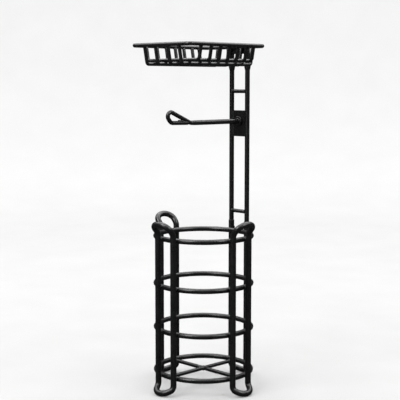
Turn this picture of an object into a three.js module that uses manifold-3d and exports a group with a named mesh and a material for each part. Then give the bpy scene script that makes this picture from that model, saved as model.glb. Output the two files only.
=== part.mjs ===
// Free-standing toilet paper holder: a round rod cage for spare rolls, a ladder
// column with a roll arm, and a wire basket on top.
// Millimetres, +Z up. Origin on the floor under the middle of the cage.
// +Y is the column side (back), the roll arm points along -Y, X is the width.

import * as THREE from 'three';
import * as BufferGeometryUtils from 'three/addons/utils/BufferGeometryUtils.js';
import Module from 'manifold-3d';

// ---------------------------------------------------------------- dimensions
const GAP = 0.3;                    // clearance kept where welded or seated pieces meet

// cage legs: closed rod loops, 12 mm rod
const LEG_ROD = 12;
const LEG_HALF = 22.1;              // half distance between the two rods of a loop
const LEG_DIST = 104.8;             // rod plane to cage axis
const FLARE_OUT = 17.1;             // how far the feet and the top ears lean outwards
const FOOT_BEND_Z = 22.6;           // height where a foot starts to bend outwards
const FOOT_BEND_R = 12;
const FOOT_TILT = 63 * Math.PI / 180;
const EAR_BEND_Z = 317.6;           // height where a top ear starts to bend outwards
const EAR_BEND_R = 16;
const EAR_TILT = 40 * Math.PI / 180;
const EAR_CROWN = 16.0;             // height of the rounded end of an ear, along the rod plane

// cage rings
const RING_WIRE = 10.4;
const RING_BULGE = 1.7;             // the rings stand out this much between the loops, which press them in
const RING_Z = { ring_base: 33.5, ring_lower: 122.7, ring_upper: 213.4, ring_top: 310.3 };

// roll support inside the bottom ring
const BAR_WIRE = 8;

// column
const POST_OD = 10;
const POST_Y = LEG_DIST;
const POST_TOP = 652.2;
const BACK_TUBE_TOP = 331;          // open tops of the two back leg tubes
const SOCKET_BORE = 8.0;            // bore of the back leg tubes
const SPIGOT_D = 7.2;               // reduced lower end of a post
const SPIGOT_LEN = 34;
const RUNG_WIRE = 8;
const RUNG_Z = { rung_lower: 351.2, rung_upper: 601.4 };

// roll arm and its plate
const ARM_ROD = 10;
const ARM_Z = 539.5;                // height of the arm and its stud
const EYE_ROD = 8.4;                // the rod is drawn down to this in the eye
const PLATE = { h: 54, t: 3, z: 535 };
const ARM_STUD = 8;

// basket
const RIM_WIRE = 8;
const RIM_Z = 691.6;
const RIM_X = 81.1;                 // half width, wire centre
const RIM_Y = 103.6;                // half length, wire centre
const RIM_YC = -13.0;               // middle of the basket in Y
const RIM_R = 10;                   // corner radius
const WIRE = 7;                     // basket wires
// how a wire leaves the rim: inset of its centre from the rim centre, inward lean, and how far below the rim centre it stops
const SIDE_END = { inset: 3.0, slope: 0.19, drop: 3.75 };
const FRONT_END = { inset: 3.0, slope: 0.19, drop: 3.75 };
const BACK_END = { inset: 0, slope: 0.15, drop: 4.3 };
const FLOOR_Z = 654.9;              // centre height of the lower floor wires, the lengthwise ones
const LONG_BEND = 5;
const CROSS_BEND = 7;
const LONG_X = [-49, -17.8, 17.8, 49];
const CROSS_Y = [-70.2, -42.2, -16.7, 7.8, 31.8, 55.8, 75.7];

// ---------------------------------------------------------------- materials
const coat = () => new THREE.MeshStandardMaterial({ color: 0x141416, roughness: 0.42, metalness: 0.55 });
const steel = () => new THREE.MeshStandardMaterial({ color: 0x8d8f92, roughness: 0.3, metalness: 1.0 });

// ---------------------------------------------------------------- helpers
const V = (x, y, z) => new THREE.Vector3(x, y, z);

// Frames along a rod: at each point the section lies in the mitre plane, so the
// straight stretches keep their full diameter.
function rodFrames(pts, closed, n0) {
  const n = pts.length, T = [], N = [], B = [];
  const seg = (i, j) => pts[j].clone().sub(pts[i]).normalize();
  for (let i = 0; i < n; i++) {
    const a = i === 0 ? (closed ? seg(n - 1, 0) : seg(0, 1)) : seg(i - 1, i);
    const b = i === n - 1 ? (closed ? seg(n - 1, 0) : seg(n - 2, n - 1)) : seg(i, i + 1);
    T.push([a, b]);
  }
  let u = n0.clone().addScaledVector(T[0][1], -n0.dot(T[0][1])).normalize();
  for (let i = 0; i < n; i++) {
    const [a, b] = T[i];
    if (i > 0) {                          // carry the normal from the last segment to this one
      const q = new THREE.Quaternion().setFromUnitVectors(a, b);
      u = u.clone().applyQuaternion(q).normalize();
    }
    const t = b, v = t.clone().cross(u).normalize();
    const m = a.clone().add(b).normalize();           // mitre plane normal
    const onto = (w) => w.clone().addScaledVector(t, -w.dot(m) / t.dot(m));
    N.push(onto(u)); B.push(onto(v));
  }
  return { normals: N, binormals: B };
}

// A rod along straight stretches and arcs, given by its exact points.
class RodPath extends THREE.Curve {
  constructor(pts, n0, scale) { super(); this.pts = pts; this.n0 = n0; this.scale = scale; }
  getPoint(t) {
    const f = t * (this.pts.length - 1), i = Math.min(Math.floor(f), this.pts.length - 2);
    return this.pts[i].clone().lerp(this.pts[i + 1], f - i);
  }
  getSpacedPoints() { return this.pts.map((p) => p.clone()); }
  computeFrenetFrames() {
    const f = rodFrames(this.pts, false, this.n0);
    if (this.scale) for (const k of ['normals', 'binormals']) f[k].forEach((v, i) => v.multiplyScalar(this.scale(this.pts[i])));
    return f;
  }
}

function roundSection(d, sides, phase = 0.5) {
  const p = [];
  for (let i = 0; i < sides; i++) {
    const a = 2 * Math.PI * (i + phase) / sides;
    p.push(new THREE.Vector2(d / 2 * Math.cos(a), d / 2 * Math.sin(a)));
  }
  return new THREE.Shape(p);
}

function openRod(pts, d, sides, n0 = V(0, 0, 1), phase = 0.5, scale = null) {
  return new THREE.ExtrudeGeometry(roundSection(d, sides, phase), {
    steps: pts.length - 1, extrudePath: new RodPath(pts, n0, scale), curveSegments: 1,
  });
}

function closedRod(pts, d, sides, n0, phase = 0.5) {
  const { normals, binormals } = rodFrames(pts, true, n0), n = pts.length;
  const pos = [], idx = [];
  for (let i = 0; i < n; i++) for (let k = 0; k < sides; k++) {
    const a = 2 * Math.PI * (k + phase) / sides;
    const p = pts[i].clone().addScaledVector(normals[i], d / 2 * Math.cos(a)).addScaledVector(binormals[i], d / 2 * Math.sin(a));
    pos.push(p.x, p.y, p.z);
  }
  for (let i = 0; i < n; i++) for (let k = 0; k < sides; k++) {
    const i2 = (i + 1) % n, k2 = (k + 1) % sides;
    const a = i * sides + k, b = i * sides + k2, c = i2 * sides + k2, e = i2 * sides + k;
    idx.push(a, b, c, a, c, e);
  }
  const g = new THREE.BufferGeometry();
  g.setAttribute('position', new THREE.Float32BufferAttribute(pos, 3));
  g.setIndex(idx);
  g.computeVertexNormals();
  return g;
}

// Polyline with its corners rounded: pts = [[point, radius, steps], ...]
function filleted(corners, closed = false) {
  const out = [], n = corners.length;
  for (let i = 0; i < n; i++) {
    const [p, r, steps] = corners[i];
    if (!r || (!closed && (i === 0 || i === n - 1))) { out.push(p.clone()); continue; }
    const a = corners[(i - 1 + n) % n][0].clone().sub(p).normalize();
    const b = corners[(i + 1) % n][0].clone().sub(p).normalize();
    const half = a.angleTo(b) / 2, len = r / Math.tan(half);
    const c = p.clone().add(a.clone().add(b).normalize().multiplyScalar(r / Math.sin(half)));
    const s = p.clone().addScaledVector(a, len).sub(c), e = p.clone().addScaledVector(b, len).sub(c);
    const turn = s.angleTo(e), axis = s.clone().cross(e).normalize();
    for (let k = 0; k <= steps; k++) out.push(c.clone().add(s.clone().applyAxisAngle(axis, turn * k / steps)));
  }
  return out;
}

// lathe ring or disc about an axis through `at`; profile = [[radius, height], ...]
function turned(profile, sides, closed, axis = 'z', at = [0, 0, 0]) {
  const pts = profile.map(([r, h]) => new THREE.Vector2(r, h));
  if (closed) pts.push(pts[0].clone());
  const g = new THREE.LatheGeometry(pts, sides);   // spins about Y, heights along Y
  if (axis === 'z') g.rotateX(Math.PI / 2);        // heights now along +Z
  g.translate(...at);
  return g;
}

const wasm = await Module(); wasm.setup();
function solid(geometry) {
  let g = geometry.clone(); g.deleteAttribute('normal'); g.deleteAttribute('uv');
  g = BufferGeometryUtils.mergeVertices(g, 1e-4);
  const keep = [], ix = g.index.array;                 // drop the slivers at an axis
  for (let i = 0; i < ix.length; i += 3) if (ix[i] !== ix[i + 1] && ix[i + 1] !== ix[i + 2] && ix[i] !== ix[i + 2]) keep.push(ix[i], ix[i + 1], ix[i + 2]);
  g.setIndex(keep);
  const m = new wasm.Mesh({ numProp: 3, vertProperties: new Float32Array(g.attributes.position.array), triVerts: new Uint32Array(g.index.array) });
  m.merge();
  return new wasm.Manifold(m);
}
function geometryOf(man) {
  const m = man.getMesh(), g = new THREE.BufferGeometry(), np = m.numProp, n = m.vertProperties.length / np;
  const pos = new Float32Array(n * 3);
  for (let i = 0; i < n; i++) for (let k = 0; k < 3; k++) pos[i * 3 + k] = m.vertProperties[i * np + k];
  g.setAttribute('position', new THREE.BufferAttribute(pos, 3));
  g.setIndex(Array.from(m.triVerts));
  g.computeVertexNormals();
  return g;
}

const group = new THREE.Group();
function add(name, geometry, material = coat()) {
  const mesh = new THREE.Mesh(geometry, material);
  mesh.name = name;
  group.add(mesh);
  return mesh;
}

// ---------------------------------------------------------------- cage legs
// The rods of a loop lie in an upright sheet whose two ends lean outwards.
// Sheet point: u across, w along the sheet from where the bend starts.
function onSheet(w, r, tilt) {
  if (w <= 0) return [0, w];
  const a = Math.min(w / r, tilt), over = Math.max(w - r * tilt, 0);
  return [r * (1 - Math.cos(a)) + over * Math.sin(tilt), r * Math.sin(a) + over * Math.cos(tilt)];
}
// w at which the sheet leans out by d
const reach = (d, r, tilt) => r * tilt + (d - r * (1 - Math.cos(tilt))) / Math.sin(tilt);

// One end of a loop, from rod -u to rod +u (foot: dir -1, ear: dir +1).
function loopEnd(z0, r, tilt, crown, dir, bendSteps, crownSteps) {
  const wTop = reach(FLARE_OUT, r, tilt), w1 = wTop - crown, out = [];
  const put = (u, w) => { const [d, h] = onSheet(w, r, tilt); out.push(V(u, -(LEG_DIST + d), z0 + dir * h)); };
  const straight = [];
  for (let k = 0; k <= bendSteps; k++) { const w = r * tilt * k / bendSteps; if (w < w1 - 0.5) straight.push(w); }
  for (const w of straight) put(-LEG_HALF, w);
  const m = crownSteps;                                // odd, so the middle step is level
  for (let k = 0; k <= m; k++) {
    const a = Math.PI * k / m;
    put(-LEG_HALF * Math.cos(a), w1 + crown * Math.sin(a) / Math.sin(Math.PI * (m - 1) / (2 * m)));
  }
  for (const w of straight.reverse()) put(LEG_HALF, w);
  return out;
}

const foot = loopEnd(FOOT_BEND_Z, FOOT_BEND_R, FOOT_TILT, LEG_HALF, -1, 4, 13);
const ear = loopEnd(EAR_BEND_Z, EAR_BEND_R, EAR_TILT, EAR_CROWN, 1, 3, 11);
// lowest part of the foot crown sits on the floor: shift the foot so that it does
const footLow = Math.min(...foot.map((p) => p.z));
const LEG_SIDES = 10;
const footLift = LEG_ROD / 2 * Math.cos(Math.PI / LEG_SIDES) - footLow;
for (const p of foot) p.z += footLift;

// section phase that turns one flat of the rod straight down at the foot crown
function flatDownPhase(pts, closed, n0, mid) {
  const { normals, binormals } = rodFrames(pts, closed, n0), down = V(0, 0, -1);
  const a = Math.atan2(down.dot(binormals[mid].clone().normalize()), down.dot(normals[mid].clone().normalize()));
  return a * LEG_SIDES / (2 * Math.PI) - 0.5;
}
const footMid = (p) => p.reduce((best, q, i) => (Math.abs(q.z - LEG_ROD / 2 * Math.cos(Math.PI / LEG_SIDES)) < 1e-6 && best < 0 ? i : best), -1);

function legLoop() {
  const pts = [...foot.map((p) => p.clone())];       // from -u to +u along the foot
  for (const p of [...ear].reverse()) pts.push(p.clone());
  return pts;
}
const UNIT_TURN = { leg_loop_front: 0, leg_loop_right: Math.PI / 2, leg_loop_left: -Math.PI / 2 };
for (const [name, turn] of Object.entries(UNIT_TURN)) {
  const pts = legLoop();
  const g = closedRod(pts, LEG_ROD, LEG_SIDES, V(0, -1, 0), flatDownPhase(pts, true, V(0, -1, 0), footMid(pts)));
  const mesh = add(name, g);
  mesh.rotation.z = turn;
}

// back leg: the same foot, and two upright tubes that end open as sockets
{
  const pts = foot.map((p) => p.clone());
  const path = [V(-LEG_HALF, -LEG_DIST, BACK_TUBE_TOP), ...pts, V(LEG_HALF, -LEG_DIST, BACK_TUBE_TOP)];
  let s = solid(openRod(path, LEG_ROD, LEG_SIDES, V(0, -1, 0), flatDownPhase(path, false, V(0, -1, 0), footMid(path))));
  for (const sx of [-1, 1]) {
    const bore = new THREE.CylinderGeometry(SOCKET_BORE / 2, SOCKET_BORE / 2, SPIGOT_LEN + 8, 10);
    bore.rotateX(Math.PI / 2);
    bore.translate(sx * LEG_HALF, -LEG_DIST, BACK_TUBE_TOP + 1 - (SPIGOT_LEN + 8) / 2 + 1);
    s = s.subtract(solid(bore));
    const hole = new THREE.CylinderGeometry(2.3, 2.3, 20, 8);     // cross hole for the lock screw, outer wall only
    hole.translate(sx * LEG_HALF, -LEG_DIST - 10, BACK_TUBE_TOP - 16);
    s = s.subtract(solid(hole));
  }
  const mesh = add('leg_loop_back', geometryOf(s));
  mesh.rotation.z = Math.PI;
}

// ---------------------------------------------------------------- cage rings
const RING_R = Math.hypot(LEG_DIST, LEG_HALF) - LEG_ROD / 2 - RING_WIRE / 2 - GAP - 0.2;
function ringPath(steps) {
  const pts = [];
  for (let i = 0; i < steps; i++) {
    const a = 2 * Math.PI * i / steps, r = RING_R + RING_BULGE * ((1 - Math.cos(4 * a)) / 2) ** 1.3;
    pts.push(V(r * Math.cos(a), r * Math.sin(a), 0));
  }
  return pts;
}
for (const [name, z] of Object.entries(RING_Z)) {
  const mesh = add(name, closedRod(ringPath(48), RING_WIRE, 8, V(0, 0, 1), 0));
  mesh.position.set(0, 0, z);
}

// ---------------------------------------------------------------- roll support bars
{
  const end = RING_R - RING_WIRE / 2 - GAP - 0.35;
  const half = BAR_WIRE / 2 + GAP;
  const z = RING_Z.ring_base;
  add('base_bar_long', openRod([V(0, -end, z), V(0, end, z)], BAR_WIRE, 10));
  add('base_bar_left', openRod([V(-end, 0, z), V(-half, 0, z)], BAR_WIRE, 10));
  add('base_bar_right', openRod([V(half, 0, z), V(end, 0, z)], BAR_WIRE, 10));
}

// ---------------------------------------------------------------- column
for (const [name, sx] of [['post_left', -1], ['post_right', 1]]) {
  // stepped tube: spigot, shoulder, body with an open socket at the top
  const z0 = BACK_TUBE_TOP - SPIGOT_LEN, z1 = BACK_TUBE_TOP + GAP, zt = POST_TOP;
  const prof = [[0, z0], [SPIGOT_D / 2 - 0.6, z0], [SPIGOT_D / 2, z0 + 1.2], [SPIGOT_D / 2, z1], [POST_OD / 2, z1],
    [POST_OD / 2, zt], [3.5, zt], [3.5, zt - 24], [0, zt - 24]];
  const g = turned(prof, 14, false, 'z', [sx * LEG_HALF, POST_Y, 0]);
  add(name, g);
}
for (const [name, z] of Object.entries(RUNG_Z)) {
  const e = LEG_HALF - POST_OD / 2 - GAP;
  add(name, openRod([V(-e, POST_Y, z), V(e, POST_Y, z)], RUNG_WIRE, 10));
}
// lock screws through the back wall of the leg tubes
for (const [name, sx] of [['lock_screw_left', -1], ['lock_screw_right', 1]]) {
  const y0 = POST_Y + SPIGOT_D / 2 + GAP, yh = POST_Y + LEG_ROD / 2 + GAP;
  const g = turned([[0, y0], [1.9, y0], [1.9, yh], [3.6, yh], [3.6, yh + 1.2], [2.6, yh + 2.2], [0, yh + 2.2]], 10, false, 'y', [0, 0, 0]);
  g.translate(sx * LEG_HALF, 0, BACK_TUBE_TOP - 16);
  add(name, g, steel());
}

// ---------------------------------------------------------------- roll arm
{
  const e = LEG_HALF - POST_OD / 2 - GAP, h = PLATE.h / 2, up = ARM_Z - PLATE.z;
  const sh = new THREE.Shape();
  sh.moveTo(-e, -h); sh.lineTo(e, -h); sh.lineTo(e, h); sh.lineTo(-e, h); sh.closePath();
  const hole = new THREE.Path();
  for (let k = 0; k < 12; k++) {
    const a = -2 * Math.PI * k / 12, r = (ARM_STUD / 2 + GAP) / Math.cos(Math.PI / 12);
    if (k === 0) hole.moveTo(r, up); else hole.lineTo(r * Math.cos(a), r * Math.sin(a) + up);
  }
  hole.closePath();
  sh.holes.push(hole);
  const g = new THREE.ExtrudeGeometry(sh, { depth: PLATE.t, bevelEnabled: false, curveSegments: 1 });
  g.rotateX(Math.PI / 2);                               // shape plane to XZ, thickness along -Y
  g.translate(0, POST_Y + PLATE.t / 2, PLATE.z);
  add('arm_plate', g);
}
{
  // rod, teardrop eye in the upright YZ plane, flange and stud
  const yPlate = POST_Y - PLATE.t / 2, yFlange = yPlate - GAP;
  const z = ARM_Z;
  const P = (y, dz) => V(0, y, z + dz);
  const path = filleted([
    [P(yFlange - 2, 0), 0, 0],
    [P(-29, 0), 0, 0],
    [P(-36.7, 0), 16, 3],
    [P(-116, 34), 8.1, 8],
    [P(-89.4, 1), 10.8, 4],
    [P(-63, 1), 0, 0],
  ]);
  const draw = (p) => (p.y > -29.5 ? 1 : EYE_ROD / ARM_ROD);
  const rod = solid(openRod(path, ARM_ROD, 12, V(1, 0, 0), 0, draw));
  const foot2 = solid(openRod([P(-74, 1), P(-44, 0.4)], EYE_ROD * 0.985, 12, V(1, 0, 0), 0));
  const stud = solid(turned([[0, yFlange - 4], [10, yFlange - 4], [10, yFlange], [ARM_STUD / 2, yFlange], [ARM_STUD / 2, yPlate + PLATE.t + 12],
    [ARM_STUD / 2 - 0.8, yPlate + PLATE.t + 12.8], [0, yPlate + PLATE.t + 12.8]], 14, false, 'y', [0, 0, z]));
  add('arm', geometryOf(rod.add(foot2).add(stud)));
  // washer and cap nut on the stud, behind the plate
  const yw = yPlate + PLATE.t + GAP, rb = ARM_STUD / 2 + GAP;
  add('arm_washer', turned([[rb, yw], [8.5, yw], [8.5, yw + 1.6], [rb, yw + 1.6]], 16, true, 'y', [0, 0, z]), steel());
  const yn = yw + 1.6 + GAP;
  let nut = solid(turned([[0, yn], [7.5, yn], [7.5, yn + 6.5], [6.2, yn + 6.5], [6.0, yn + 9], [4.6, yn + 12.4], [2.2, yn + 14.2], [0, yn + 14.6]], 6, false, 'y', [0, 0, z]));
  nut = nut.subtract(solid(turned([[0, yn - 1], [rb, yn - 1], [rb, yn + 12.0], [0, yn + 12.0]], 12, false, 'y', [0, 0, z])));
  add('arm_cap_nut', geometryOf(nut), steel());
}

// ---------------------------------------------------------------- basket
// stub rods on the back of the basket plug into the posts
const BAR_T = (POST_Y - POST_OD / 2 - GAP) - (RIM_YC + RIM_Y + RIM_WIRE / 2 + GAP);
for (const [name, sx] of [['basket_stub_left', -1], ['basket_stub_right', 1]]) {
  const z0 = POST_TOP - 20, z1 = POST_TOP + GAP, z2 = RIM_Z + 2.4;
  add(name, turned([[0, z0], [2.6, z0], [3.2, z0 + 1], [3.2, z1], [POST_OD / 2, z1], [POST_OD / 2, z2 - 1.2], [POST_OD / 2 - 1.2, z2], [0, z2]],
    14, false, 'z', [sx * LEG_HALF, POST_Y, 0]));
}
for (const [name, sx] of [['post_collar_left', -1], ['post_collar_right', 1]]) {
  const r = POST_OD / 2 + GAP, zt = POST_TOP + 1.0;
  add(name, turned([[r, zt - 8], [r + 0.5, zt - 8], [r + 1.3, zt - 2.2], [r + 1.3, zt], [r, zt]], 14, true, 'z', [sx * LEG_HALF, POST_Y, 0]));
}
{
  const y0 = RIM_YC + RIM_Y + RIM_WIRE / 2 + GAP;
  const g = new THREE.BoxGeometry(58, BAR_T, 16);
  g.translate(0, y0 + BAR_T / 2, RIM_Z - 6);
  add('basket_mount_bar', g);
}
{
  const c = [[1, -1], [1, 1], [-1, 1], [-1, -1]].map(([a, b]) => [V(a * RIM_X, RIM_YC + b * RIM_Y, RIM_Z), RIM_R, 4]);
  add('basket_rim', closedRod(filleted(c, true), RIM_WIRE, 8, V(0, 0, 1), 0));
}
// wires end just under the rim, run down the side, across the floor and up again
function basketWire(half, floorZ, bend, low, high, across) {
  const at = (e, z) => half - e.inset - e.slope * (RIM_Z - z);
  const topLow = RIM_Z - low.drop, topHigh = RIM_Z - high.drop;
  return filleted([
    [across(-at(low, topLow), topLow), 0, 0], [across(-at(low, floorZ), floorZ), bend, 3],
    [across(at(high, floorZ), floorZ), bend, 3], [across(at(high, topHigh), topHigh), 0, 0],
  ]);
}
const WIRE_SIDES = 8;
CROSS_Y.forEach((y, i) => {
  const g = openRod(basketWire(RIM_X, FLOOR_Z + WIRE + GAP, CROSS_BEND, SIDE_END, SIDE_END, (a, z) => V(a, RIM_YC + y, z)), WIRE, WIRE_SIDES, V(0, 1, 0));
  add(`basket_cross_wire_${i + 1}`, g);
});
LONG_X.forEach((x, i) => {
  const g = openRod(basketWire(RIM_Y, FLOOR_Z, LONG_BEND, FRONT_END, BACK_END, (a, z) => V(x, RIM_YC + a, z)), WIRE, WIRE_SIDES, V(1, 0, 0));
  add(`basket_long_wire_${i + 1}`, g);
});

export default group;
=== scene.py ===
import math

import bmesh
import bpy
import numpy as np
from mathutils import Matrix, Vector


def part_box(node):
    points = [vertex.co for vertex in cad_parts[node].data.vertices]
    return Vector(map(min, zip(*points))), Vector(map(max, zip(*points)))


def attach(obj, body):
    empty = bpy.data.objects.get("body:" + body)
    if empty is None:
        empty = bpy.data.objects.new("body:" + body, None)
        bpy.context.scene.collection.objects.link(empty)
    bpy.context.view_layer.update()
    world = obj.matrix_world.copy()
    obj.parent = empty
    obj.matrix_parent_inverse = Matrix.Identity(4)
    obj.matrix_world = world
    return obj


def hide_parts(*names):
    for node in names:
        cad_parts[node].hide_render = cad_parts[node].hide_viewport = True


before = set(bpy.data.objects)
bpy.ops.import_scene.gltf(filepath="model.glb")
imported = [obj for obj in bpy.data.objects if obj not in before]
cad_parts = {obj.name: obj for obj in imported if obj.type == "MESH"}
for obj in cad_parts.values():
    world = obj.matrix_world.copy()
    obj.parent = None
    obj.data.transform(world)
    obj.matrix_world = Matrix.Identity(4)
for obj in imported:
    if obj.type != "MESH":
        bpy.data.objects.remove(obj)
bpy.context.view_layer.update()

MM = 0.001
GAP = 0.3

# ------------------------------------------------------------------ dimensions, as in the CAD (mm)
LEG_R, LEG_HALF, LEG_DIST, FLARE = 6.0, 22.1, 104.8, 17.1
FOOT = dict(z0=22.6, r=12.0, tilt=math.radians(63), crown=22.1, sign=-1)
EAR = dict(z0=317.6, r=16.0, tilt=math.radians(40), crown=16.0, sign=1)
RING_T = 5.2
RING_R = math.hypot(LEG_DIST, LEG_HALF) - LEG_R - RING_T - GAP - 0.2
RING_BULGE = 1.7
BAR_T = 4.0
POST_R, POST_Y, POST_TOP, TUBE_TOP = 5.0, 104.8, 652.2, 331.0
BORE_R, SPIGOT_R, SPIGOT_LEN = 4.0, 3.6, 34.0
RUNG_R = 4.0
ARM_R, EYE_R, ARM_Z = 5.0, 4.2, 539.5
PLATE_H, PLATE_T, PLATE_Z = 54.0, 3.0, 535.0
STUD_R = 4.0
RIM_T, RIM_Z, RIM_X, RIM_Y, RIM_YC, RIM_CORNER = 4.0, 691.6, 81.1, 103.6, -13.0, 10.0
WIRE_T, FLOOR_Z, LONG_BEND, CROSS_BEND = 3.5, 654.9, 5.0, 7.0
SIDE_END, FRONT_END, BACK_END = (3.0, 0.19, 3.75), (3.0, 0.19, 3.75), (0.0, 0.15, 4.3)   # inset, lean, drop
LONG_X = [-49, -17.8, 17.8, 49]
CROSS_Y = [-70.2, -42.2, -16.7, 7.8, 31.8, 55.8, 75.7]
RINGS = ("ring_base", "ring_lower", "ring_upper", "ring_top")


def mid(node):
    lo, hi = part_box(node)
    return np.array([(a + b) / 2 / MM for a, b in zip(lo, hi)])


def top(node):
    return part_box(node)[1][2] / MM


# ------------------------------------------------------------------ materials
def new_material(name):
    m = bpy.data.materials.new(name)
    m.use_nodes = True
    nt = m.node_tree
    bsdf = nt.nodes["Principled BSDF"]
    return m, nt, bsdf


def node(nt, kind, **props):
    n = nt.nodes.new(kind)
    for k, v in props.items():
        setattr(n, k, v)
    return n


def noise(nt, coord, scale, detail=2.0, rough=0.5, stretch=None):
    n = node(nt, "ShaderNodeTexNoise")
    n.inputs["Scale"].default_value = scale
    n.inputs["Detail"].default_value = detail
    n.inputs["Roughness"].default_value = rough
    if stretch:
        mp = node(nt, "ShaderNodeMapping")
        mp.inputs["Scale"].default_value = stretch
        nt.links.new(coord, mp.inputs["Vector"])
        nt.links.new(mp.outputs["Vector"], n.inputs["Vector"])
    else:
        nt.links.new(coord, n.inputs["Vector"])
    return n.outputs["Fac"]


def ramp(nt, fac, stops):
    r = node(nt, "ShaderNodeValToRGB")
    el = r.color_ramp.elements
    el[0].position, el[0].color = stops[0][0], (*stops[0][1], 1)
    el[1].position, el[1].color = stops[-1][0], (*stops[-1][1], 1)
    for p, c in stops[1:-1]:
        e = el.new(p)
        e.color = (*c, 1)
    nt.links.new(fac, r.inputs["Fac"])
    return r.outputs["Color"]


def span(nt, fac, lo, hi, a=0.3, b=0.7):
    n = node(nt, "ShaderNodeMapRange")
    n.inputs["From Min"].default_value, n.inputs["From Max"].default_value = a, b
    n.inputs["To Min"].default_value, n.inputs["To Max"].default_value = lo, hi
    nt.links.new(fac, n.inputs["Value"])
    return n.outputs["Result"]


def make_coat(name, dark, light, rough_lo, rough_hi):
    """Satin black powder coat: fine orange peel, faint mottling, a soft sheen."""
    m, nt, b = new_material(name)
    co = node(nt, "ShaderNodeTexCoord").outputs["Object"]
    mott = noise(nt, co, 38.0, 4.0, 0.6)
    fine = noise(nt, co, 420.0, 3.0, 0.65)
    peel = noise(nt, co, 700.0, 1.0, 0.45)
    nt.links.new(ramp(nt, mott, [(0.3, dark), (0.7, light)]), b.inputs["Base Color"])
    mix = node(nt, "ShaderNodeMath", operation="MULTIPLY_ADD")
    nt.links.new(mott, mix.inputs[0])
    mix.inputs[1].default_value = 0.5
    half = node(nt, "ShaderNodeMath", operation="MULTIPLY")
    nt.links.new(fine, half.inputs[0])
    half.inputs[1].default_value = 0.5
    nt.links.new(half.outputs[0], mix.inputs[2])
    nt.links.new(span(nt, mix.outputs[0], rough_lo, rough_hi, 0.35, 0.65), b.inputs["Roughness"])
    bump = node(nt, "ShaderNodeBump")
    bump.inputs["Strength"].default_value = 0.2
    bump.inputs["Distance"].default_value = 0.00012
    nt.links.new(peel, bump.inputs["Height"])
    soft = node(nt, "ShaderNodeBump")
    soft.inputs["Strength"].default_value = 0.08
    soft.inputs["Distance"].default_value = 0.0003
    nt.links.new(noise(nt, co, 160.0, 2.0, 0.5), soft.inputs["Height"])
    nt.links.new(bump.outputs["Normal"], soft.inputs["Normal"])
    nt.links.new(soft.outputs["Normal"], b.inputs["Normal"])
    b.inputs["Metallic"].default_value = 0.0
    b.inputs["Specular IOR Level"].default_value = 0.5
    return m


def make_steel(name):
    """Zinc plated steel: faint bluish mottling, fine turning marks."""
    m, nt, b = new_material(name)
    co = node(nt, "ShaderNodeTexCoord").outputs["Object"]
    mott = noise(nt, co, 220.0, 4.0, 0.6)
    nt.links.new(ramp(nt, mott, [(0.3, (0.42, 0.43, 0.45)), (0.55, (0.56, 0.57, 0.58)), (0.75, (0.62, 0.62, 0.61))]),
                 b.inputs["Base Color"])
    nt.links.new(span(nt, noise(nt, co, 900.0, 2.0), 0.24, 0.42), b.inputs["Roughness"])
    bump = node(nt, "ShaderNodeBump")
    bump.inputs["Strength"].default_value = 0.2
    bump.inputs["Distance"].default_value = 0.00005
    nt.links.new(noise(nt, co, 1500.0, 2.0), bump.inputs["Height"])
    nt.links.new(bump.outputs["Normal"], b.inputs["Normal"])
    b.inputs["Metallic"].default_value = 1.0
    return m


COAT = make_coat("black_powder_coat", (0.0034, 0.0034, 0.0036), (0.0056, 0.0056, 0.0059), 0.24, 0.34)
WELD = make_coat("black_powder_coat_weld", (0.0034, 0.0034, 0.0036), (0.0058, 0.0058, 0.0061), 0.28, 0.40)
STEEL = make_steel("zinc_plated_steel")


# ------------------------------------------------------------------ mesh helpers (all lengths in mm)
def unit(v):
    v = np.asarray(v, float)
    return v / np.linalg.norm(v)


class Shell:
    """Collects vertices and faces of one object; closed parts are added ring by ring."""

    def __init__(self):
        self.v, self.f, self.n = [], [], 0

    def rings(self, rings, closed=False, cap0=None, cap1=None):
        k, m = len(rings[0]), len(rings)
        base = self.n
        for r in rings:
            self.v.extend(map(tuple, r))
        self.n += k * m
        for i in range(m if closed else m - 1):
            a, b = base + i * k, base + ((i + 1) % m) * k
            for j in range(k):
                j2 = (j + 1) % k
                self.f.append((a + j, a + j2, b + j2, b + j))
        if not closed:
            for at, row, flip in ((cap0, base, True), (cap1, base + (m - 1) * k, False)):
                ring = rings[0] if flip else rings[-1]
                c = np.mean(ring, axis=0) if at is None else np.asarray(at, float)
                self.v.append(tuple(c))
                ci = self.n
                self.n += 1
                for j in range(k):
                    j2 = (j + 1) % k
                    self.f.append((ci, row + j2, row + j) if flip else (ci, row + j, row + j2))

    def finish(self, name, material, sharp=None):
        me = bpy.data.meshes.new(name)
        me.from_pydata([tuple(c * MM for c in p) for p in self.v], [], self.f)
        bm = bmesh.new()
        bm.from_mesh(me)
        bmesh.ops.recalc_face_normals(bm, faces=bm.faces)
        bm.to_mesh(me)
        bm.free()
        for p in me.polygons:
            p.use_smooth = True
        if sharp:
            me.set_sharp_from_angle(angle=math.radians(sharp))
        me.materials.append(material)
        o = bpy.data.objects.new(name, me)
        bpy.context.scene.collection.objects.link(o)
        return o


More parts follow.
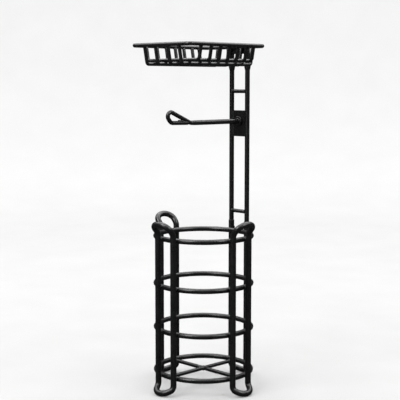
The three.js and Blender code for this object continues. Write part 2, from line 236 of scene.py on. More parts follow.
def frames(P, closed, n0):
    """Normals carried along the path without twist."""
    P = np.asarray(P, float)
    n = len(P)
    seg = np.roll(P, -1, 0) - P
    if not closed:
        seg[-1] = seg[-2]
    seg /= np.linalg.norm(seg, axis=1)[:, None]
    T = seg + np.roll(seg, 1, 0)
    if not closed:
        T[0], T[-1] = seg[0], seg[-1]
    T /= np.linalg.norm(T, axis=1)[:, None]
    N = np.zeros_like(P)
    u = np.asarray(n0, float)
    for i in range(n):
        u = unit(u - u.dot(T[i]) * T[i])
        N[i] = u
    if closed:
        w = unit(N[-1] - N[-1].dot(T[0]) * T[0])
        ang = math.atan2(np.cross(w, N[0]).dot(T[0]), w.dot(N[0]))
        for i in range(n):
            a = ang * i / n
            N[i] = N[i] * math.cos(a) + np.cross(T[i], N[i]) * math.sin(a)
    return T, N, np.cross(T, N)


def circle(c, n, b, r, k):
    a = 2 * np.pi * np.arange(k) / k
    return c + r * (np.cos(a)[:, None] * n + np.sin(a)[:, None] * b)


def rod(shell, P, R, sides=28, closed=False, n0=(0, 0, 1), round0=0.0, round1=0.0):
    """A round rod along P; R is a number or one radius per point; its ends may be rounded over."""
    P = np.asarray(P, float)
    R = np.full(len(P), float(R)) if np.isscalar(R) else np.asarray(R, float)
    T, N, B = frames(P, closed, n0)
    if closed:
        shell.rings([circle(P[i], N[i], B[i], R[i], sides) for i in range(len(P))], closed=True)
        return
    rings = []
    steps = 5
    if round0 > 0:
        for k in range(steps):
            a = math.pi / 2 * k / steps
            rings.append(circle(P[0] + T[0] * round0 * (1 - math.sin(a)), N[0], B[0], R[0] - round0 + round0 * math.cos(math.pi / 2 - a) * 1.0, sides))
    first = [P[0] + T[0] * round0] + [p for p in P[1:-1]] + [P[-1] - T[-1] * round1]
    for i, p in enumerate(first):
        rings.append(circle(p, N[i], B[i], R[i], sides))
    if round1 > 0:
        for k in range(1, steps + 1):
            a = math.pi / 2 * k / steps
            rings.append(circle(P[-1] - T[-1] * round1 * (1 - math.sin(a)), N[-1], B[-1], R[-1] - round1 + round1 * math.cos(a), sides))
    shell.rings(rings)


def basis(axis):
    a = unit(axis)
    h = np.array([0, 0, 1.0]) if abs(a[2]) < 0.9 else np.array([1.0, 0, 0])
    n = unit(np.cross(h, a))
    return a, n, np.cross(a, n)


def lathe(shell, profile, at, axis=(0, 0, 1), sides=48, shape=None, closed=False):
    """profile = [(radius, height)] from the axis out and back to it; shape(theta, radius, height) may pull a ring off round."""
    a, n, b = basis(axis)
    at = np.asarray(at, float)
    th = 2 * np.pi * np.arange(sides) / sides
    rings = []
    for r, h in profile:
        rr = np.array([shape(t, r, h) for t in th]) if shape else np.full(sides, r)
        rings.append(at + a * h + rr[:, None] * (np.cos(th)[:, None] * n + np.sin(th)[:, None] * b))
    if closed:
        shell.rings(rings, closed=True)
    else:
        shell.rings(rings, cap0=at + a * profile[0][1], cap1=at + a * profile[-1][1])


def corner(profile, r, k=4):
    """Rounds the inner corners of a lathe profile by r (mm)."""
    out = [profile[0]]
    for i in range(1, len(profile) - 1):
        p = np.array(profile[i], float)
        a, b = np.array(profile[i - 1], float) - p, np.array(profile[i + 1], float) - p
        la, lb = np.linalg.norm(a), np.linalg.norm(b)
        rr = r[i] if isinstance(r, dict) and i in r else (r.get("all", 0.0) if isinstance(r, dict) else r)
        d = min(rr, la * 0.45, lb * 0.45)
        if d <= 0.01:
            out.append(tuple(p))
            continue
        s, e = p + a / la * d, p + b / lb * d
        for j in range(k + 1):
            t = j / k
            out.append(tuple((1 - t) ** 2 * s + 2 * t * (1 - t) * p + t * t * e))
    out.append(profile[-1])
    return out


def fillet_path(corners, closed=False, step=math.radians(6)):
    """Polyline with rounded corners: [(point, radius)]."""
    out, n = [], len(corners)
    for i in range(n):
        p, r = np.array(corners[i][0], float), corners[i][1]
        if not r or (not closed and i in (0, n - 1)):
            out.append(p)
            continue
        a = unit(np.array(corners[i - 1][0], float) - p)
        b = unit(np.array(corners[(i + 1) % n][0], float) - p)
        half = math.acos(np.clip(a.dot(b), -1, 1)) / 2
        c = p + unit(a + b) * r / math.sin(half)
        s, e = p + a * r / math.tan(half) - c, p + b * r / math.tan(half) - c
        turn = math.acos(np.clip(unit(s).dot(unit(e)), -1, 1))
        ax = unit(np.cross(s, e))
        m = max(4, int(round(turn / step)))
        for k in range(m + 1):
            t = turn * k / m
            out.append(c + s * math.cos(t) + np.cross(ax, s) * math.sin(t))
    return np.array(out)


def refine(P, longest=14.0, closed=False):
    out = []
    n = len(P)
    for i in range(n if closed else n - 1):
        a, b = P[i], P[(i + 1) % n]
        m = max(1, int(math.ceil(np.linalg.norm(b - a) / longest)))
        out.extend(a + (b - a) * k / m for k in range(m))
    if not closed:
        out.append(P[-1])
    return np.array(out)


def turned(P, deg):
    c, s = math.cos(math.radians(deg)), math.sin(math.radians(deg))
    P = np.asarray(P, float)
    return P @ np.array([[c, s, 0], [-s, c, 0], [0, 0, 1.0]])


# small repeatable variation, the same on every run
def wobble(seed, k, amount):
    rng = np.random.RandomState(seed)
    a = np.zeros(k)
    t = 2 * np.pi * np.arange(k) / k
    for h in (2, 3, 5):
        a += rng.uniform(-1, 1) / h * np.sin(h * t + rng.uniform(0, 6.28))
    return amount * a


def saddle(shell, p, n, d1, d2, r1, r2, size, seed, gap=GAP, k=22, depth=0.34):
    """Weld bead where two rods touch side by side: concave all round, let into both rods."""
    n, d1, d2 = unit(n), unit(d1), unit(d2)
    t1 = unit(np.cross(n, [0.0, 0, 1]) if abs(n[2]) < 0.9 else np.cross(n, [1.0, 0, 0]))
    t2 = np.cross(n, t1)
    w = wobble(seed, k, 0.09)
    levels = (0.0, 0.16, 0.34, 0.5, 0.66, 0.84, 1.0)
    rows = [[] for _ in levels]
    for j in range(k):
        th = 2 * math.pi * j / k
        e = math.cos(th) * t1 + math.sin(th) * t2
        rw = size * (1 + w[j])
        s1, s2 = np.linalg.norm(np.cross(e, d1)), np.linalg.norm(np.cross(e, d2))
        f = lambda r, s: (r + gap / 2) - math.sqrt(max(r * r - min(rw * s, r * 0.93) ** 2, 0))
        hi, lo = f(r1, s1), -f(r2, s2)
        for i, t in enumerate(levels):
            rho = rw * (1 - depth * math.sin(math.pi * t) ** 0.8)
            z = lo + (hi - lo) * t + (0.25 if t == 1 else -0.25 if t == 0 else 0)
            rows[i].append(p + e * rho + n * z)
    shell.rings([np.array(r) for r in rows], cap0=p - n * 1.2, cap1=p + n * 1.2)


def collar(shell, p, axis, r_rod, r_target, target_axis, size, seed, k=26):
    """Fillet weld round the end of a rod that butts against the side of another; p is on the other's surface."""
    axis, ta = unit(axis), unit(target_axis)          # axis points from the rod into the other
    _, t1, t2 = basis(axis)
    w = wobble(seed, k, 0.16)
    prof = [(0.0, 1.0), (0.12, 0.62), (0.34, 0.3), (0.66, 0.1), (1.0, 0.0)]
    rows = [[] for _ in range(len(prof) + 2)]
    for j in range(k):
        th = 2 * math.pi * j / k
        e = math.cos(th) * t1 + math.sin(th) * t2
        s = np.linalg.norm(np.cross(e, ta))
        sz = size * (1 + w[j])
        drop = lambda rho: r_target - math.sqrt(max(r_target ** 2 - min(rho * s, r_target * 0.93) ** 2, 0))
        rows[0].append(p + e * (r_rod - 0.6) - axis * sz * 1.0)
        for i, (x, y) in enumerate(prof):
            rho = r_rod - 0.12 + sz * x
            rows[i + 1].append(p + e * rho + axis * (drop(rho) - sz * y + (0.3 if x == 1 else 0)))
        rows[-1].append(p + e * (r_rod - 0.6) + axis * (drop(r_rod) + 0.5))
    shell.rings([np.array(r) for r in rows])


def blob(shell, c, ax, seed, k=18, m=10, amount=0.07):
    """A small lump of weld metal; ax = three half axes as vectors."""
    a, b, d = (np.asarray(x, float) for x in ax)
    w = wobble(seed, k, amount)
    rows = []
    for i in range(1, m):
        ph = math.pi * i / m
        row = []
        for j in range(k):
            th = 2 * math.pi * j / k
            q = 1 + w[j] * math.sin(ph)
            row.append(c + q * (a * math.sin(ph) * math.cos(th) + b * math.sin(ph) * math.sin(th)) + d * math.cos(ph))
        rows.append(np.array(row))
    shell.rings(rows, cap0=c + d, cap1=c - d)


def strip(shell, path, section, n, b, seed, ripple=0.05):
    """A weld run with an open-form section (list of (n, b) points) swept along a straight path."""
    rng = np.random.RandomState(seed)
    ph = rng.uniform(0, 6.28)
    L = len(path)
    sec = np.array(section, float)
    c0 = sec.mean(0)
    rows = []
    for i, p in enumerate(path):
        q = 1 + ripple * math.sin(i * 2.1 + ph) + rng.uniform(-1, 1) * ripple * 0.5
        edge = min(i, L - 1 - i)
        q *= (0.35, 0.8, 0.95, 1.0)[min(edge, 3)]
        s = c0 + (sec - c0) * q
        rows.append(np.array([p + x * n + y * b for x, y in s]))
    shell.rings(rows)


FIT = []


def place(piece, *nodes):
    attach(piece, "root")
    if nodes:
        if len(nodes) == 1:
            lo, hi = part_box(nodes[0])
            v = np.array([tuple(x.co) for x in piece.data.vertices])
            d = max(float(np.max(np.abs(v.min(0) - np.array(lo)))), float(np.max(np.abs(v.max(0) - np.array(hi)))))
            FIT.append((nodes[0], round(d / MM, 2)))
        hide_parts(*nodes)
    return piece


# ------------------------------------------------------------------ cage legs
def on_sheet(w, r, tilt):
    if w <= 0:
        return 0.0, w
    a, over = min(w / r, tilt), max(w - r * tilt, 0.0)
    return r * (1 - math.cos(a)) + over * math.sin(tilt), r * math.sin(a) + over * math.cos(tilt)


def loop_end(e, steps=34):
    r, tilt, crown = e["r"], e["tilt"], e["crown"]
    w_top = r * tilt + (FLARE - r * (1 - math.cos(tilt))) / math.sin(tilt)
    w1 = w_top - crown
    out = []

    def put(u, w):
        d, h = on_sheet(w, r, tilt)
        out.append([u, -(LEG_DIST + d), e["z0"] + e["sign"] * h])

    rise = [w1 * k / 7 for k in range(7)] if w1 > 4 else [0.0, w1 * 0.5]
    for w in rise:
        put(-LEG_HALF, w)
    for k in range(steps + 1):
        a = math.pi * k / steps
        put(-LEG_HALF * math.cos(a), w1 + crown * math.sin(a))
    for w in reversed(rise):
        put(LEG_HALF, w)
    return np.array(out)


foot = loop_end(FOOT)
foot[:, 2] += LEG_R - foot[:, 2].min()
ear = loop_end(EAR)


def upright(a, b, m=12):
    return [a + (b - a) * k / m for k in range(1, m)]


loop = list(foot) + upright(foot[-1], ear[-1]) + list(ear[::-1]) + upright(ear[0], foot[0])
loop = np.array(loop)
for name, deg in (("leg_loop_front", 0), ("leg_loop_right", 90), ("leg_loop_left", -90)):
    s = Shell()
    P = turned(loop, deg)
    rod(s, P, LEG_R, sides=32, closed=True, n0=turned([[0, -1, 0]], deg)[0])
    place(s.finish("rod_" + name, COAT), name)

# back leg: tubes open at the top, with a rounded lip and a bore
s = Shell()
up = [np.array([foot[0][0], foot[0][1], TUBE_TOP - 0.8]), np.array([foot[-1][0], foot[-1][1], TUBE_TOP - 0.8])]
path = np.array([up[0]] + list(reversed(upright(foot[0], up[0]))) + list(foot) + upright(foot[-1], up[1]) + [up[1]])
path = turned(path, 180)
T, N, B = frames(path, False, (0, 1, 0))
body = [circle(path[i], N[i], B[i], LEG_R, 32) for i in range(len(path))]


def lip(c, n, b, out):
    """rings from the outer wall over the lip and down the bore, along the direction `out`"""
    rr = []
    for k in range(1, 6):
        a = math.pi / 2 * k / 5
        rr.append(circle(c + out * 0.8 * math.sin(a), n, b, LEG_R - 0.8 + 0.8 * math.cos(a), 32))
    rr.append(circle(c + out * 0.8, n, b, BORE_R + 0.3, 32))
    rr.append(circle(c + out * 0.5, n, b, BORE_R, 32))
    rr.append(circle(c - out * 38, n, b, BORE_R, 32))
    return rr


head = lip(path[0], N[0], B[0], -T[0])
tail = lip(path[-1], N[-1], B[-1], T[-1])
s.rings(list(reversed(head)) + body + tail)
place(s.finish("rod_leg_loop_back", COAT), "leg_loop_back")

# ------------------------------------------------------------------ cage rings
def ring_radius(th):
    return RING_R + RING_BULGE * ((1 - np.cos(4 * th)) / 2) ** 1.3


ring_z = {}
for i, name in enumerate(RINGS):
    z = ring_z[name] = mid(name)[2]
    s = Shell()
    m = 180
    th = 2 * np.pi * np.arange(m) / m
    rr = ring_radius(th)
    P = np.stack([rr * np.cos(th), rr * np.sin(th), np.full(m, z)], 1)
    seam = math.radians(118)                       # butt weld of the wire, at the back left
    d = np.abs((th - seam + math.pi) % (2 * math.pi) - math.pi) * RING_R
    rod(s, P, RING_T + 0.28 * np.exp(-(d / 1.9) ** 2), sides=26, closed=True, n0=(0, 0, 1))
    place(s.finish("wire_" + name, COAT), name)

s = Shell()
seed = 11
for z in ring_z.values():
    for deg in (0, 90, 180, 270):
        for sx in (-1, 1):
            u = unit(turned([[sx * LEG_HALF, -LEG_DIST, 0]], deg)[0])
            p = u * (math.hypot(LEG_DIST, LEG_HALF) - LEG_R - GAP / 2) + np.array([0, 0, z])
            seed += 1
            saddle(s, p, -u, np.cross([0, 0, 1.0], u), (0, 0, 1), RING_T, LEG_R, 3.9, seed)
place(s.finish("welds_cage", WELD))

# ------------------------------------------------------------------ roll support bars
zb = mid("base_bar_long")[2]
end = RING_R - RING_T + 0.7
s = Shell()
rod(s, refine(np.array([[0, -end, zb], [0, end, zb]])), BAR_T, sides=26)
place(s.finish("bar_base_long", COAT), "base_bar_long")
for name, sx in (("base_bar_left", -1), ("base_bar_right", 1)):
    s = Shell()
    rod(s, refine(np.array([[sx * end, 0, zb], [sx * (BAR_T - 1.0), 0, zb]])), BAR_T, sides=26)
    place(s.finish("bar_" + name, COAT), name)
s = Shell()
for d in ((1, 0, 0), (-1, 0, 0), (0, 1, 0), (0, -1, 0)):
    d = np.array(d, float)
    seed += 1
    collar(s, d * (RING_R - RING_T) + [0, 0, zb], d, BAR_T, RING_T, np.cross([0, 0, 1.0], d), 1.5, seed)
for sx in (-1, 1):
    seed += 1
    collar(s, np.array([sx * BAR_T, 0, zb]), (-sx, 0, 0), BAR_T, BAR_T, (0, 1, 0), 1.4, seed)
place(s.finish("welds_base_bars", WELD))

# ------------------------------------------------------------------ column
for name, sx in (("post_left", -1), ("post_right", 1)):
    s = Shell()
    z0, z1 = TUBE_TOP - SPIGOT_LEN, TUBE_TOP + GAP
    prof = [(0.05, z0), (SPIGOT_R, z0), (SPIGOT_R, z1 - 1.2), (SPIGOT_R + 0.1, z1 + 0.05), (POST_R, z1), (POST_R, z1 + 6)]
    prof = corner(prof, {"all": 0.0, 1: 0.9, 4: 0.7})
    for z in np.linspace(z1 + 20, POST_TOP - 10, 12):
        prof.append((POST_R, float(z)))
    prof += [(POST_R, POST_TOP - 0.5), (POST_R - 0.15, POST_TOP - 0.15), (POST_R - 0.5, POST_TOP), (3.5, POST_TOP), (3.5, POST_TOP - 24), (0.05, POST_TOP - 24)]
    lathe(s, prof, (sx * LEG_HALF, POST_Y, 0), sides=36)
    place(s.finish("tube_" + name, COAT, sharp=40), name)
for name in ("rung_lower", "rung_upper"):
    s = Shell()
    z = mid(name)[2]
    e = LEG_HALF - POST_R + 0.9
    rod(s, refine(np.array([[-e, POST_Y, z], [e, POST_Y, z]]), 6), RUNG_R, sides=26)
    place(s.finish("bar_" + name, COAT), name)
s = Shell()
for z in (mid("rung_lower")[2], mid("rung_upper")[2]):
    for sx in (-1, 1):
        seed += 1
        collar(s, np.array([sx * (LEG_HALF - POST_R), POST_Y, z]), (sx, 0, 0), RUNG_R, POST_R, (0, 0, 1), 1.2, seed)
# the plate's four runs against the posts
zs = np.linspace(PLATE_Z - PLATE_H / 2 + 0.8, PLATE_Z + PLATE_H / 2 - 0.8, 40)
for sx in (-1, 1):
    for sy in (-1, 1):
        seed += 1
        sec = []
        a, c = (14.7, 1.5), (18.7, 3.65)
        for k in range(7):
            t = k / 6
            q = (17.0, 1.75)
            sec.append(((1 - t) ** 2 * a[0] + 2 * t * (1 - t) * q[0] + t * t * c[0], (1 - t) ** 2 * a[1] + 2 * t * (1 - t) * q[1] + t * t * c[1]))
        sec += [(18.9, 1.2), (15.2, 0.9)]
        P = [np.array([0, POST_Y, z]) for z in zs]
        strip(s, P, sec, np.array([sx, 0, 0.0]), np.array([0, sy, 0.0]), seed)
place(s.finish("welds_column", WELD))

# lock screws: button heads with a hex socket
for name, sx in (("lock_screw_left", -1), ("lock_screw_right", 1)):
    s = Shell()
    y0 = SPIGOT_R + GAP
    yh = LEG_R + 0.12
    hexr = 1.45

    def shape(t, r, h):
        if r > 1.7 or r < 1.0 or h < yh:
            return r
        return r * math.cos(math.pi / 6) / math.cos((t + math.pi / 6) % (math.pi / 3) - math.pi / 6)

    prof = [(0.05, y0), (1.5, y0), (1.9, y0 + 0.5), (1.9, yh), (3.2, yh), (3.6, yh + 0.25), (3.6, yh + 0.7),
            (3.45, yh + 1.15), (3.15, yh + 1.55), (2.7, yh + 1.9), (2.2, yh + 2.12), (1.8, yh + 2.2), (1.6, yh + 2.15), (hexr, yh + 2.0),
            (hexr, yh + 0.9), (1.2, yh + 0.75), (0.05, yh + 0.6)]
    lathe(s, prof, (sx * LEG_HALF, POST_Y, mid(name)[2]), axis=(0, 1, 0), sides=36, shape=shape)
    place(s.finish("screw_" + name, STEEL, sharp=35), name)

# ------------------------------------------------------------------ arm plate
e, h = LEG_HALF - POST_R + 0.4, PLATE_H / 2
bm = bmesh.new()
hz = ARM_Z - PLATE_Z
hole = [(4.3 * math.cos(2 * math.pi * k / 40), hz + 4.3 * math.sin(2 * math.pi * k / 40)) for k in range(40)]


def loop_verts(pts, y):
    vs = [bm.verts.new((x * MM, y * MM, (PLATE_Z + z) * MM)) for x, z in pts]
    return vs, [bm.edges.new((vs[i], vs[(i + 1) % len(vs)])) for i in range(len(vs))]


y0, y1 = POST_Y - PLATE_T / 2, POST_Y + PLATE_T / 2
c = 0.7
outer = [(-e, -h + c), (-e + c, -h), (e - c, -h), (e, -h + c), (e, h - c), (e - c, h), (-e + c, h), (-e, h - c)]
sides = []
for y in (y0, y1):
    vo, eo = loop_verts(outer, y)
    vh, eh = loop_verts(hole, y)
    bmesh.ops.triangle_fill(bm, use_beauty=True, edges=eo + eh)
    sides.append((vo, vh))
for kind in (0, 1):
    a, b = sides[0][kind], sides[1][kind]
    for i in range(len(a)):
        j = (i + 1) % len(a)
        bm.faces.new((a[i], a[j], b[j], b[i]))
bmesh.ops.recalc_face_normals(bm, faces=bm.faces)
rim_edges = [ed for ed in bm.edges if len(ed.link_faces) == 2 and ed.calc_face_angle() > 1.2 and max(abs(v.co.x) for v in ed.verts) > 0.006
             and abs(ed.verts[0].co.y - ed.verts[1].co.y) < 1e-6]
bmesh.ops.bevel(bm, geom=rim_edges, offset=0.45 * MM, segments=3, affect="EDGES", profile=0.5)
me = bpy.data.meshes.new("plate_arm")
bm.to_mesh(me)
bm.free()
for p in me.polygons:
    p.use_smooth = True
me.set_sharp_from_angle(angle=math.radians(30))
me.materials.append(COAT)
plate = bpy.data.objects.new("plate_arm", me)
bpy.context.scene.collection.objects.link(plate)
place(plate, "arm_plate")

# ------------------------------------------------------------------ roll arm
yf = POST_Y - PLATE_T / 2 - GAP
eye = fillet_path([
    ((0, yf - 1, ARM_Z), 0), ((0, -36.7, ARM_Z), 18), ((0, -116.0, ARM_Z + 34), 8.1),
    ((0, -89.4, ARM_Z + 1), 10.8), ((0, -43, ARM_Z + 0.2), 0)], step=math.radians(4))
eye = refine(eye, 5.0)
R = []
run = 0.0
for i, p in enumerate(eye):
    # the rod is drawn down smoothly where the eye begins
    t = np.clip((-20 - p[1]) / 22.0, 0, 1)
    R.append(ARM_R + (EYE_R - ARM_R) * (t * t * (3 - 2 * t)))
s = Shell()
rod(s, eye, R, sides=32, n0=(1, 0, 0), round1=2.0)
# flange and stud, turned
prof = [(0.05, yf - 5.0), (ARM_R + 0.3, yf - 5.0), (ARM_R + 0.9, yf - 4.2), (9.4, yf - 3.9), (10.0, yf - 3.4), (10.0, yf - 0.5), (9.6, yf), (STUD_R, yf),
        (STUD_R, yf + GAP + PLATE_T + 11.6), (STUD_R - 0.8, yf + GAP + PLATE_T + 12.6), (0.05, yf + GAP + PLATE_T + 12.6)]
lathe(s, corner(prof, {"all": 0.0, 2: 0.6, 3: 0.3}), (0, 0, ARM_Z), axis=(0, 1, 0), sides=44)
place(s.finish("rod_arm", COAT, sharp=50), "arm")
# weld run where the end of the eye lies against the shank
s = Shell()
for k, (y, q) in enumerate(((-57.5, 0.9), (-60.5, 1.0), (-63.5, 1.0), (-66.3, 0.9))):
    for sx in (-1, 1):
        seed += 1
        z = ARM_Z + 2.2 + (-57.5 - y) * 0.22
        blob(s, np.array([sx * 2.6, y, z + 0.7]), ((1.5 * q, 0, 0), (0, 2.3 * q, 0), (0, 0, 2.0 * q)), seed, k=14, m=8)
place(s.finish("welds_arm", WELD))

# washer and cap nut
yw = POST_Y + PLATE_T / 2 + GAP
s = Shell()
prof = [(STUD_R + 0.3, yw + 0.2), (STUD_R + 0.5, yw), (8.2, yw), (8.5, yw + 0.3), (8.5, yw + 1.2), (8.2, yw + 1.6), (STUD_R + 0.6, yw + 1.6), (STUD_R + 0.3, yw + 1.3)]
lathe(s, prof, (0, 0, ARM_Z), axis=(0, 1, 0), sides=48, closed=True)
place(s.finish("ring_arm_washer", STEEL, sharp=40), "arm_washer")
s = Shell()
yn = yw + 1.6 + 0.1
AF = 13.0 / 2


def hexagon(t, r, h):
    if r < 5.8:
        return r
    flat = AF / math.cos((t + math.pi / 6) % (math.pi / 3) - math.pi / 6)
    return min(flat, r)


prof = [(STUD_R + 0.2, yn + 10.5), (STUD_R + 0.2, yn + 0.6), (STUD_R + 0.7, yn), (6.35, yn), (6.8, yn + 0.25), (7.2, yn + 0.5), (7.5, yn + 0.9), (7.5, yn + 5.4), (7.2, yn + 5.8),
        (6.8, yn + 6.1), (6.35, yn + 6.4), (5.75, yn + 6.6), (5.7, yn + 7.2)]
for k in range(1, 12):
    a = math.pi / 2 * k / 12
    prof.append((5.7 * math.cos(a), yn + 8.6 + 5.9 * math.sin(a)))
prof.append((0.05, yn + 14.5))
lathe(s, prof, (0, 0, ARM_Z), axis=(0, 1, 0), sides=72, shape=hexagon)
place(s.finish("nut_arm_cap", STEEL, sharp=28), "arm_cap_nut")

# ------------------------------------------------------------------ basket stubs, collars and mount bar
for name, sx in (("basket_stub_left", -1), ("basket_stub_right", 1)):
    s = Shell()
    z0, z1, z2 = POST_TOP - 20, POST_TOP + GAP, RIM_Z + 2.4
    prof = [(0.05, z0), (2.7, z0), (3.2, z0 + 0.8), (3.2, z1 - 0.1), (POST_R, z1), (POST_R, z1 + 4), (POST_R, z1 + 12), (POST_R, z2 - 2.0)]
    for k in range(1, 7):
        a = math.pi / 2 * k / 6
        prof.append((POST_R - 2.0 + 2.0 * math.cos(a), z2 - 2.0 + 2.0 * math.sin(a)))
    prof.append((0.05, z2))
    lathe(s, prof, (sx * LEG_HALF, POST_Y, 0), sides=36)
    place(s.finish("rod_" + name, COAT, sharp=40), name)
for name, sx in (("post_collar_left", -1), ("post_collar_right", 1)):
    s = Shell()
    zt, r = POST_TOP + 1.0, POST_R + 0.12
    prof = [(r, zt - 8), (r + 0.35, zt - 8.0), (r + 0.55, zt - 7.6), (r + 0.85, zt - 5.5), (r + 1.25, zt - 3.0), (r + 1.48, zt - 1.8), (r + 1.5, zt - 0.6), (r + 1.2, zt - 0.1), (r + 0.7, zt), (r, zt)]
    lathe(s, prof, (sx * LEG_HALF, POST_Y, 0), sides=40, closed=True)
    place(s.finish("ring_" + name, COAT, sharp=50), name)

lo, hi = (np.array(v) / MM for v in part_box("basket_mount_bar"))
bm = bmesh.new()
bmesh.ops.create_cube(bm, size=1.0)
for v in bm.verts:
    v.co = Vector([(lo[i] + (v.co[i] + 0.5) * (hi[i] - lo[i])) * MM for i in range(3)])
ends = [ed for ed in bm.edges if abs(ed.verts[0].co.y - ed.verts[1].co.y) > 0.003]
bmesh.ops.bevel(bm, geom=ends, offset=3.0 * MM, segments=6, affect="EDGES", profile=0.5)
bmesh.ops.bevel(bm, geom=[ed for ed in bm.edges if len(ed.link_faces) == 2 and ed.calc_face_angle() > 1.2], offset=0.6 * MM, segments=3, affect="EDGES", profile=0.5)
me = bpy.data.meshes.new("plate_basket_mount")
bm.to_mesh(me)
bm.free()
for p in me.polygons:
    p.use_smooth = True
me.set_sharp_from_angle(angle=math.radians(35))
me.materials.append(COAT)
bar = bpy.data.objects.new("plate_basket_mount", me)
bpy.context.scene.collection.objects.link(bar)
place(bar, "basket_mount_bar")

# ------------------------------------------------------------------ basket
corners = [((a * RIM_X, RIM_YC + b * RIM_Y, RIM_Z), RIM_CORNER) for a, b in ((1, -1), (1, 1), (-1, 1), (-1, -1))]
P = refine(fillet_path(corners, closed=True, step=math.radians(5)), 10.0, closed=True)
s = Shell()
rod(s, P, RIM_T, sides=26, closed=True, n0=(0, 0, 1))
place(s.finish("wire_basket_rim", COAT), "basket_rim")

def basket_wire(half, floor_z, bend, low, high, across):
    at = lambda e, z: half - e[0] - e[1] * (RIM_Z - z)
    ext = 1.3                                   # the ends run into the rim, under the weld
    zl, zh = RIM_Z - low[2] + ext, RIM_Z - high[2] + ext
    return refine(fillet_path([(across(-at(low, zl), zl), 0), (across(-at(low, floor_z), floor_z), bend),
                               (across(at(high, floor_z), floor_z), bend), (across(at(high, zh), zh), 0)], step=math.radians(7)), 12.0)


welds = Shell()
for i, y in enumerate(CROSS_Y):
    s = Shell()
    P = basket_wire(RIM_X, FLOOR_Z + 2 * WIRE_T + GAP, CROSS_BEND, SIDE_END, SIDE_END, lambda a, z: (a, RIM_YC + y, z))
    rod(s, P, WIRE_T, sides=22, n0=(0, 1, 0), round0=1.4, round1=1.4)
    place(s.finish(f"wire_basket_cross_{i + 1}", COAT), f"basket_cross_wire_{i + 1}")
    for sx in (-1, 1):
        seed += 1
        blob(welds, np.array([sx * (RIM_X - 2.0), RIM_YC + y, RIM_Z - 3.7]), ((2.5 * sx, 0, 0.6), (0, 4.1, 0), (-0.4 * sx, 0, 1.6)), seed)
for i, x in enumerate(LONG_X):
    s = Shell()
    P = basket_wire(RIM_Y, FLOOR_Z, LONG_BEND, FRONT_END, BACK_END, lambda a, z: (x, RIM_YC + a, z))
    rod(s, P, WIRE_T, sides=22, n0=(1, 0, 0), round0=1.4, round1=1.4)
    place(s.finish(f"wire_basket_long_{i + 1}", COAT), f"basket_long_wire_{i + 1}")
    for sy in (-1, 1):
        seed += 1
        blob(welds, np.array([x, RIM_YC + sy * (RIM_Y - (2.0 if sy < 0 else 0.7)), RIM_Z - (3.7 if sy < 0 else 4.1)]), ((4.1, 0, 0), (0, 2.5 * sy, 0.6 if sy < 0 else 0), (0, -0.4 * sy, 1.6)), seed)
for x in LONG_X:
    for y in CROSS_Y:
        seed += 1
        saddle(welds, np.array([x, RIM_YC + y, FLOOR_Z + WIRE_T + GAP / 2]), (0, 0, 1), (1, 0, 0), (0, 1, 0), WIRE_T, WIRE_T, 2.5, seed, k=18)
# mount bar to the rim and to the stubs
yb0, yb1 = lo[1], hi[1]
for sx in (-1, 1):
    for k in range(4):
        seed += 1
        blob(welds, np.array([sx * (LEG_HALF - 0.2 + 2.2 * (k % 2 * 2 - 1) * 0.9), yb1 + 0.2, RIM_Z + (1.2 if k < 2 else -13.2)]),
             ((1.9, 0, 0), (0, 1.6, 0), (0, 0, 1.7)), seed, k=14, m=8)
for x in np.linspace(-25, 25, 5):
    seed += 1
    blob(welds, np.array([x, yb0 - 0.6, RIM_Z - 3.0]), ((4.2, 0, 0), (0, 1.3, 0), (0, 0, 1.6)), seed, k=16, m=8)
place(welds.finish("welds_basket", WELD))

# ------------------------------------------------------------------ stage
s = Shell()
prof = [(0.5, 0.0), (400, 0.0), (1200, 0.0), (2600, 0.0)]
for k in range(1, 13):
    a = math.pi / 2 * k / 12
    prof.append((2600 + 1400 * math.sin(a), 1400 * (1 - math.cos(a))))
prof.append((4000, 3600))
th = 2 * np.pi * np.arange(96) / 96
s.v, s.f, s.n = [], [], 0
for r, z in prof:
    s.v.extend((r * math.cos(t), r * math.sin(t), z) for t in th)
for i in range(len(prof) - 1):
    for j in range(96):
        j2 = (j + 1) % 96
        s.f.append((i * 96 + j, i * 96 + j2, (i + 1) * 96 + j2, (i + 1) * 96 + j))
s.f.append(tuple(range(96)))
me = bpy.data.meshes.new("studio_floor")
me.from_pydata([tuple(c * MM for c in p) for p in s.v], [], s.f)
for p in me.polygons:
    p.use_smooth = True
fm, nt, b = new_material("pale_floor_painted_glow")
co = node(nt, "ShaderNodeTexCoord").outputs["Object"]
nt.links.new(ramp(nt, noise(nt, co, 6.0, 2.0), [(0.3, (0.28, 0.28, 0.28)), (0.7, (0.30, 0.30, 0.30))]), b.inputs["Base Color"])
b.inputs["Roughness"].default_value = 0.9
b.inputs["Specular IOR Level"].default_value = 0.1
# painted light: the floor and wall glow, weakly near the middle and more strongly further out, so the far floor and
# the wall look as brightly lit as the middle
b.inputs["Emission Color"].default_value = (1, 1, 1, 1)
away = node(nt, "ShaderNodeVectorMath", operation="LENGTH")
nt.links.new(co, away.inputs[0])
nt.links.new(span(nt, away.outputs["Value"], 0.18, 0.58, 0.5, 3.2), b.inputs["Emission Strength"])
me.materials.append(fm)
floor = bpy.data.objects.new("studio_floor", me)
bpy.context.scene.collection.objects.link(floor)
floor.visible_glossy = False

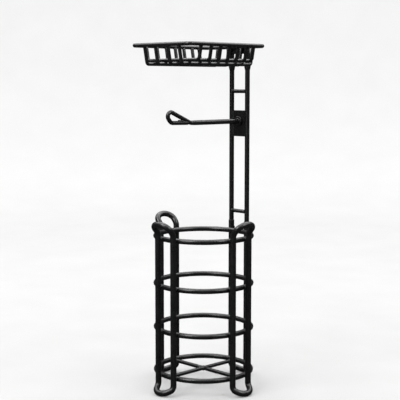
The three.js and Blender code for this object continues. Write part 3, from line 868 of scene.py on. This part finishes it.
# ------------------------------------------------------------------ light
world = bpy.data.worlds.new("studio")
bpy.context.scene.world = world
world.use_nodes = True
wn = world.node_tree
bg = wn.nodes["Background"]
geo = wn.nodes.new("ShaderNodeTexCoord")
sep = wn.nodes.new("ShaderNodeSeparateXYZ")
wn.links.new(geo.outputs["Generated"], sep.inputs["Vector"])
rp = wn.nodes.new("ShaderNodeValToRGB")
rp.color_ramp.interpolation = "EASE"
rp.color_ramp.elements[0].position, rp.color_ramp.elements[0].color = 0.25, (0.05, 0.05, 0.052, 1)
rp.color_ramp.elements[1].position, rp.color_ramp.elements[1].color = 0.85, (1, 1, 1, 1)
wn.links.new(sep.outputs["Z"], rp.inputs["Fac"])
wn.links.new(rp.outputs["Color"], bg.inputs["Color"])
bg.inputs["Strength"].default_value = 0.9

AZ = math.radians(45.466)
RIGHT = np.array([math.cos(AZ), math.sin(AZ), 0.0])
FWD = np.array([-math.sin(AZ), math.cos(AZ), 0.0])
UP = np.array([0, 0, 1.0])


def area(name, where, target, size, size_y, power):
    l = bpy.data.lights.new(name, "AREA")
    l.shape, l.size, l.size_y, l.energy = "RECTANGLE", size, size_y, power
    o = bpy.data.objects.new(name, l)
    d = Vector(target) - Vector(where)
    o.matrix_world = Matrix.Translation(Vector(where)) @ d.to_track_quat("-Z", "Y").to_matrix().to_4x4()
    bpy.context.scene.collection.objects.link(o)
    return o


mid_z = 0.36
area("key_left", tuple(UP * 2.1 - FWD * 1.3 - RIGHT * 1.4), (0, 0, mid_z), 1.2, 1.2, 46)
area("key_right", tuple(UP * 2.0 - FWD * 1.2 + RIGHT * 1.7), (0, 0, mid_z), 1.0, 1.0, 27)
area("top", tuple(UP * 2.7), (0, 0, mid_z), 2.2, 2.2, 46)
area("back_top", tuple(UP * 2.4 + FWD * 1.5), (0, 0, 0.55), 1.8, 1.2, 28)
area("back_left", tuple(UP * 2.1 + FWD * 0.7 - RIGHT * 1.5), (0, 0, 0.6), 1.4, 1.4, 20)
area("back_right", tuple(UP * 2.1 + FWD * 0.7 + RIGHT * 1.5), (0, 0, 0.6), 1.4, 1.4, 20)
area("strip_left", tuple(UP * 0.7 - FWD * 1.7 - RIGHT * 1.5), (0, 0, mid_z), 0.25, 1.4, 3)

# ------------------------------------------------------------------ camera
DIST, CAM_Z = 2079.486, 614.65
PITCH, YAW = math.radians(6.371), math.radians(-0.197)
cam = bpy.data.objects.new("camera", bpy.data.cameras.new("camera"))
bpy.context.scene.collection.objects.link(cam)
cam.data.sensor_width = 36.0
cam.data.lens = 1031.877 * 36.0 / 400.0
f2 = FWD * math.cos(YAW) + RIGHT * math.sin(YAW)
r2 = RIGHT * math.cos(YAW) - FWD * math.sin(YAW)
view = f2 * math.cos(PITCH) - UP * math.sin(PITCH)
u2 = UP * math.cos(PITCH) + f2 * math.sin(PITCH)
C = -FWD * DIST + UP * CAM_Z
m = Matrix([[r2[i], u2[i], -view[i], C[i] * MM] for i in range(3)] + [[0, 0, 0, 1]])
cam.matrix_world = m
cam.data.clip_start, cam.data.clip_end = 0.05, 50
bpy.context.scene.camera = cam
bpy.context.scene.view_settings.view_transform = "Standard"

bpy.context.view_layer.update()
print("FIT", [x for x in FIT if x[1] > 0.8])
